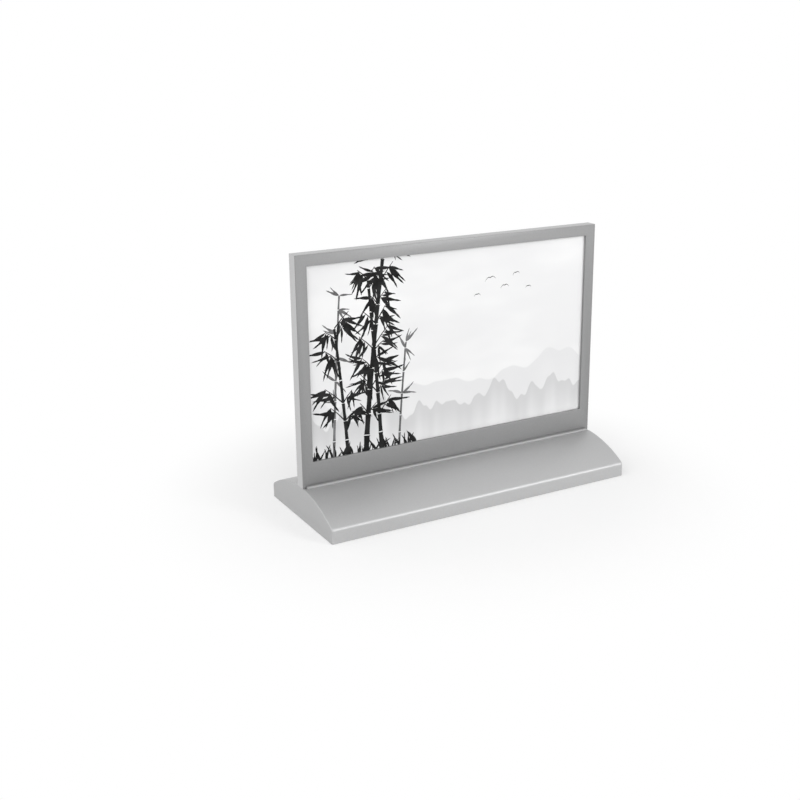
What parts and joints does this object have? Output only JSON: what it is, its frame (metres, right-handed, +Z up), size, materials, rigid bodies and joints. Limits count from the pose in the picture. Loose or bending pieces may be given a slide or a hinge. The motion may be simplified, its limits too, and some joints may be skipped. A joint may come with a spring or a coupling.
{
  "type": "e-paper table sign",
  "caption": "Free-standing table sign: a thin double-sided e-paper display head in a silver aluminium frame, upright in the slot of a low arched base with a battery door and a page button.",
  "frame": {"origin": "on the table under the middle of the sign", "axes": "+X along the width, to the right of someone facing the front; -Y is the way the front display faces; +Z up"},
  "size_m": [0.176, 0.071, 0.1345],
  "materials": {
    "anodised_aluminium": "fine bead-blasted, clear anodised, satin",
    "ink_sheet": "matte anti-glare sheet",
    "display_glass": "thin polished glass",
    "gasket_foam": "matte closed-cell foam",
    "bond_film": "translucent adhesive film",
    "core_aluminium": "rolled mill finish",
    "chip_black": "polished chip back",
    "flat_cable": "amber film",
    "base_plastic": "fine spark-eroded texture",
    "foot_rubber": "matte",
    "screw_steel": "zinc plated",
    "board_laminate": "solder mask, satin",
    "lid_metal": "tinned, satin",
    "part_black": "moulded epoxy",
    "socket_plastic": "moulded",
    "switch_plastic": "moulded",
    "plunger_plastic": "moulded",
    "button_plastic": "satin, painted silver grey",
    "led_lens": "clear moulded",
    "light_pipe": "clear polished",
    "tray_plastic": "moulded",
    "cell_steel": "nickel plated",
    "contact_strip": "sprung, satin",
    "lead_cover": "silicone"
  },
  "bodies": {
    "sign": {"mid_frame": "anodised_aluminium", "front_bezel": "anodised_aluminium", "rear_bezel": "anodised_aluminium", "front_gasket": "gasket_foam", "rear_gasket": "gasket_foam", "front_ink_sheet": "ink_sheet", "rear_ink_sheet": "ink_sheet", "front_glass": "display_glass", "rear_glass": "display_glass", "front_bond_sheet": "bond_film", "rear_bond_sheet": "bond_film", "core_plate": "core_aluminium", "driver_chips": "chip_black", "front_tail": "flat_cable", "rear_tail": "flat_cable", "base_shell": "anodised_aluminium", "left_end_cap": "anodised_aluminium", "right_end_cap": "anodised_aluminium", "bottom_plate": "base_plastic", "rubber_feet": "foot_rubber", "case_screws": "screw_steel", "tongue_screws": "screw_steel", "board_screws": "screw_steel", "main_board": "board_laminate", "radio_module": "lid_metal", "board_parts": "part_black", "tail_sockets": "socket_plastic", "page_switch": "switch_plastic", "status_led": "led_lens", "light_pipe": "light_pipe", "cell_tray": "tray_plastic", "coin_cells": "cell_steel", "negative_strip": "contact_strip", "positive_strip": "contact_strip", "battery_leads": "lead_cover", "battery_plug": "socket_plastic"},
    "page_button": {"page_button": "button_plastic", "switch_plunger": "plunger_plastic"},
    "battery_door": {"battery_door": "base_plastic"}
  },
  "joints": [
    {"name": "page_button_press", "type": "slide", "parent": "sign", "child": "page_button", "axis": [0, -1, 0], "range_m": [0, 0.0005], "stiffness_N_per_m": 2000, "springref_m": -0.0004},
    {"name": "battery_door_slide", "type": "slide", "parent": "sign", "child": "battery_door", "axis": [1, 0, 0], "range_m": [0, 0.008]}
  ]
}
